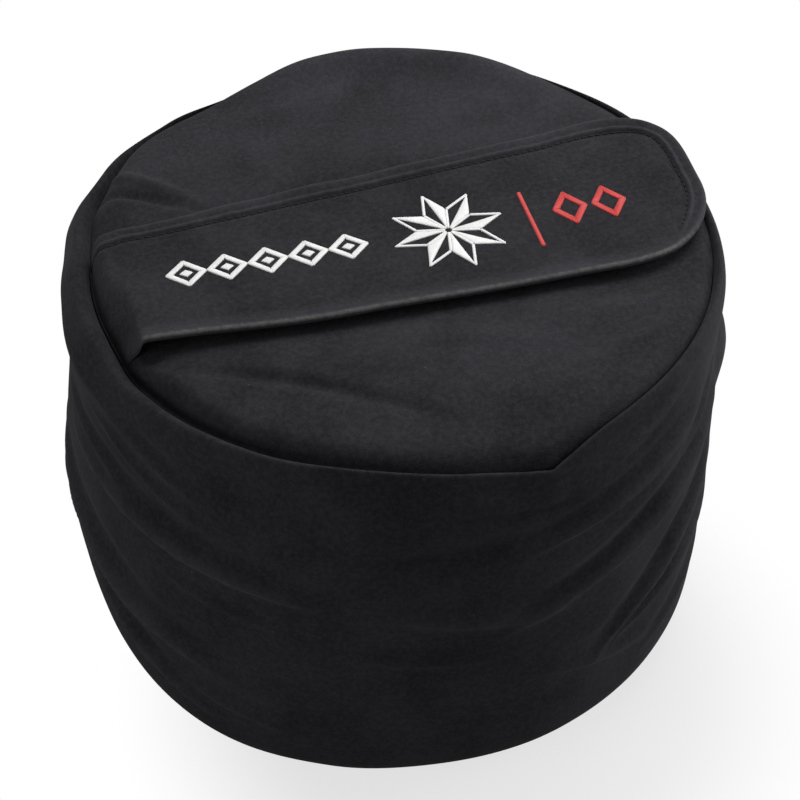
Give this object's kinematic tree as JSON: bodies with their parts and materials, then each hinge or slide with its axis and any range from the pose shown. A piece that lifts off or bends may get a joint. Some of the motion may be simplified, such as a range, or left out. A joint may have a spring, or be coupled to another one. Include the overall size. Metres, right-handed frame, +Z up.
{
  "type": "sandbag trainer",
  "caption": "Round drum-shaped training sandbag in black canvas, with a rolled rim, a level top and a long rounded hook-and-loop flap over its zipped filling mouth.",
  "frame": {"origin": "middle of the flat base, on the ground", "axes": "+Z up; +X along the flap, from its sewn end to its free rounded tip; the front is -Y"},
  "size_m": [0.2995, 0.3, 0.2091],
  "materials": {
    "side_panel": "matte",
    "base_panel": "matte",
    "top_panel_front": "matte",
    "top_panel_rear": "matte",
    "top_seam_binding": "matte",
    "base_seam_binding": "matte",
    "side_seam_tape": "matte",
    "flap_root": "matte",
    "flap_face": "matte",
    "flap_backing": "matte",
    "loop_strip_front": "matte",
    "loop_strip_rear": "matte",
    "hook_strip_front": "matte",
    "hook_strip_rear": "matte",
    "zip_tape_front": "matte",
    "zip_tape_rear": "matte",
    "zip_teeth_front": "satin",
    "zip_teeth_rear": "satin",
    "zip_stop_closed": "satin",
    "zip_stop_open": "satin",
    "zip_end_tab_left": "matte",
    "zip_end_tab_right": "matte",
    "liner_body": "matte",
    "liner_base": "matte",
    "liner_spout": "matte",
    "spout_tie": "matte",
    "sand_fill": "matte",
    "zip_slider": "satin",
    "zip_pull_tab": "satin"
  },
  "bodies": {
    "bag": {"side_panel": "side_panel", "base_panel": "base_panel", "top_panel_front": "top_panel_front", "top_panel_rear": "top_panel_rear", "top_seam_binding": "top_seam_binding", "base_seam_binding": "base_seam_binding", "side_seam_tape": "side_seam_tape", "flap_root": "flap_root", "loop_strip_front": "loop_strip_front", "loop_strip_rear": "loop_strip_rear", "zip_tape_front": "zip_tape_front", "zip_tape_rear": "zip_tape_rear", "zip_teeth_front": "zip_teeth_front", "zip_teeth_rear": "zip_teeth_rear", "zip_stop_closed": "zip_stop_closed", "zip_stop_open": "zip_stop_open", "zip_end_tab_left": "zip_end_tab_left", "zip_end_tab_right": "zip_end_tab_right", "liner_body": "liner_body", "liner_base": "liner_base", "liner_spout": "liner_spout", "spout_tie": "spout_tie", "sand_fill": "sand_fill"},
    "flap": {"flap_face": "flap_face", "flap_backing": "flap_backing", "hook_strip_front": "hook_strip_front", "hook_strip_rear": "hook_strip_rear"},
    "slider": {"zip_slider": "zip_slider"},
    "pull": {"zip_pull_tab": "zip_pull_tab"}
  },
  "joints": [
    {"name": "flap_open", "type": "hinge", "parent": "bag", "child": "flap", "pos_m": [-0.11, -0.0095, 0.2094], "axis": [0, -1, 0], "range_deg": [0, 165]},
    {"name": "zip_slide", "type": "slide", "parent": "bag", "child": "slider", "axis": [1, 0, 0], "range_m": [0, 0.174]},
    {"name": "zip_pull_swing", "type": "hinge", "parent": "slider", "child": "pull", "pos_m": [-0.082, -0.008, 0.20448], "axis": [0, -1, 0], "range_deg": [0, 90]}
  ],
  "couplings": [
    {"joint": "zip_pull_swing", "follows": "flap_open", "ratio": 0.54}
  ]
}
